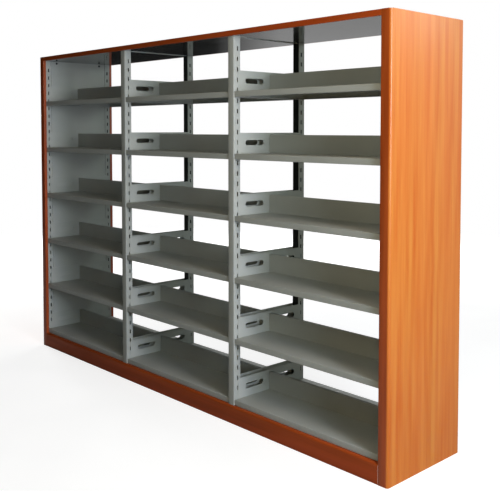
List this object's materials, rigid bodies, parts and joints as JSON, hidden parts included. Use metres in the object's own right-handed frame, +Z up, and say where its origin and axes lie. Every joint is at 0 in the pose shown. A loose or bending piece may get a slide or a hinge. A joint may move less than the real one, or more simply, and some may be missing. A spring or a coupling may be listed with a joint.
{
  "type": "double sided library shelving",
  "caption": "Free-standing double sided steel library shelving: open bays of lipped boards hooked on slotted posts, with wood-grain end panels, top and plinth.",
  "frame": {"origin": "centre of the footprint on the floor", "axes": "+X along the row of bays, -Y towards the front, +Z up"},
  "size_m": [2.826, 0.52, 1.905],
  "materials": {
    "grey_steel": "satin grey powder coat on folded sheet",
    "wood_grain_steel": "satin wood-grain transfer coat on folded sheet, straight upright grain",
    "gloss_tray": "glossy grey coat"
  },
  "bodies": {
    "frame": {"left_end_post_front": "grey_steel", "left_end_post_rear": "grey_steel", "left_divider_post_front": "grey_steel", "left_divider_post_rear": "grey_steel", "right_divider_post_front": "grey_steel", "right_divider_post_rear": "grey_steel", "right_end_post_front": "grey_steel", "right_end_post_rear": "grey_steel", "top_cross_rails": "grey_steel", "bottom_cross_rails": "grey_steel", "left_end_infill": "grey_steel", "right_end_infill": "grey_steel", "left_end_panel": "wood_grain_steel", "right_end_panel": "wood_grain_steel", "plinth_front": "wood_grain_steel", "plinth_rear": "wood_grain_steel", "top_cap": "wood_grain_steel", "left_top_tray": "gloss_tray", "middle_top_tray": "gloss_tray", "right_top_tray": "gloss_tray", "left_tier1_shelves": "grey_steel", "left_tier1_brackets": "grey_steel", "middle_tier1_shelves": "grey_steel", "middle_tier1_brackets": "grey_steel", "right_tier1_shelves": "grey_steel", "right_tier1_brackets": "grey_steel"},
    "left_tier2": {"left_tier2_shelves": "grey_steel", "left_tier2_brackets": "grey_steel"},
    "left_tier3": {"left_tier3_shelves": "grey_steel", "left_tier3_brackets": "grey_steel"},
    "left_tier4": {"left_tier4_shelves": "grey_steel", "left_tier4_brackets": "grey_steel"},
    "left_tier5": {"left_tier5_shelves": "grey_steel", "left_tier5_brackets": "grey_steel"},
    "left_tier6": {"left_tier6_shelves": "grey_steel", "left_tier6_brackets": "grey_steel"},
    "middle_tier2": {"middle_tier2_shelves": "grey_steel", "middle_tier2_brackets": "grey_steel"},
    "middle_tier3": {"middle_tier3_shelves": "grey_steel", "middle_tier3_brackets": "grey_steel"},
    "middle_tier4": {"middle_tier4_shelves": "grey_steel", "middle_tier4_brackets": "grey_steel"},
    "middle_tier5": {"middle_tier5_shelves": "grey_steel", "middle_tier5_brackets": "grey_steel"},
    "middle_tier6": {"middle_tier6_shelves": "grey_steel", "middle_tier6_brackets": "grey_steel"},
    "right_tier2": {"right_tier2_shelves": "grey_steel", "right_tier2_brackets": "grey_steel"},
    "right_tier3": {"right_tier3_shelves": "grey_steel", "right_tier3_brackets": "grey_steel"},
    "right_tier4": {"right_tier4_shelves": "grey_steel", "right_tier4_brackets": "grey_steel"},
    "right_tier5": {"right_tier5_shelves": "grey_steel", "right_tier5_brackets": "grey_steel"},
    "right_tier6": {"right_tier6_shelves": "grey_steel", "right_tier6_brackets": "grey_steel"}
  },
  "joints": [
    {"name": "left_tier2_lift", "type": "slide", "parent": "frame", "child": "left_tier2", "axis": [0, 0, 1], "range_m": [0, 0.009]},
    {"name": "left_tier3_lift", "type": "slide", "parent": "frame", "child": "left_tier3", "axis": [0, 0, 1], "range_m": [0, 0.009]},
    {"name": "left_tier4_lift", "type": "slide", "parent": "frame", "child": "left_tier4", "axis": [0, 0, 1], "range_m": [0, 0.009]},
    {"name": "left_tier5_lift", "type": "slide", "parent": "frame", "child": "left_tier5", "axis": [0, 0, 1], "range_m": [0, 0.009]},
    {"name": "left_tier6_lift", "type": "slide", "parent": "frame", "child": "left_tier6", "axis": [0, 0, 1], "range_m": [0, 0.009]},
    {"name": "middle_tier2_lift", "type": "slide", "parent": "frame", "child": "middle_tier2", "axis": [0, 0, 1], "range_m": [0, 0.009]},
    {"name": "middle_tier3_lift", "type": "slide", "parent": "frame", "child": "middle_tier3", "axis": [0, 0, 1], "range_m": [0, 0.009]},
    {"name": "middle_tier4_lift", "type": "slide", "parent": "frame", "child": "middle_tier4", "axis": [0, 0, 1], "range_m": [0, 0.009]},
    {"name": "middle_tier5_lift", "type": "slide", "parent": "frame", "child": "middle_tier5", "axis": [0, 0, 1], "range_m": [0, 0.009]},
    {"name": "middle_tier6_lift", "type": "slide", "parent": "frame", "child": "middle_tier6", "axis": [0, 0, 1], "range_m": [0, 0.009]},
    {"name": "right_tier2_lift", "type": "slide", "parent": "frame", "child": "right_tier2", "axis": [0, 0, 1], "range_m": [0, 0.009]},
    {"name": "right_tier3_lift", "type": "slide", "parent": "frame", "child": "right_tier3", "axis": [0, 0, 1], "range_m": [0, 0.009]},
    {"name": "right_tier4_lift", "type": "slide", "parent": "frame", "child": "right_tier4", "axis": [0, 0, 1], "range_m": [0, 0.009]},
    {"name": "right_tier5_lift", "type": "slide", "parent": "frame", "child": "right_tier5", "axis": [0, 0, 1], "range_m": [0, 0.009]},
    {"name": "right_tier6_lift", "type": "slide", "parent": "frame", "child": "right_tier6", "axis": [0, 0, 1], "range_m": [0, 0.009]}
  ]
}
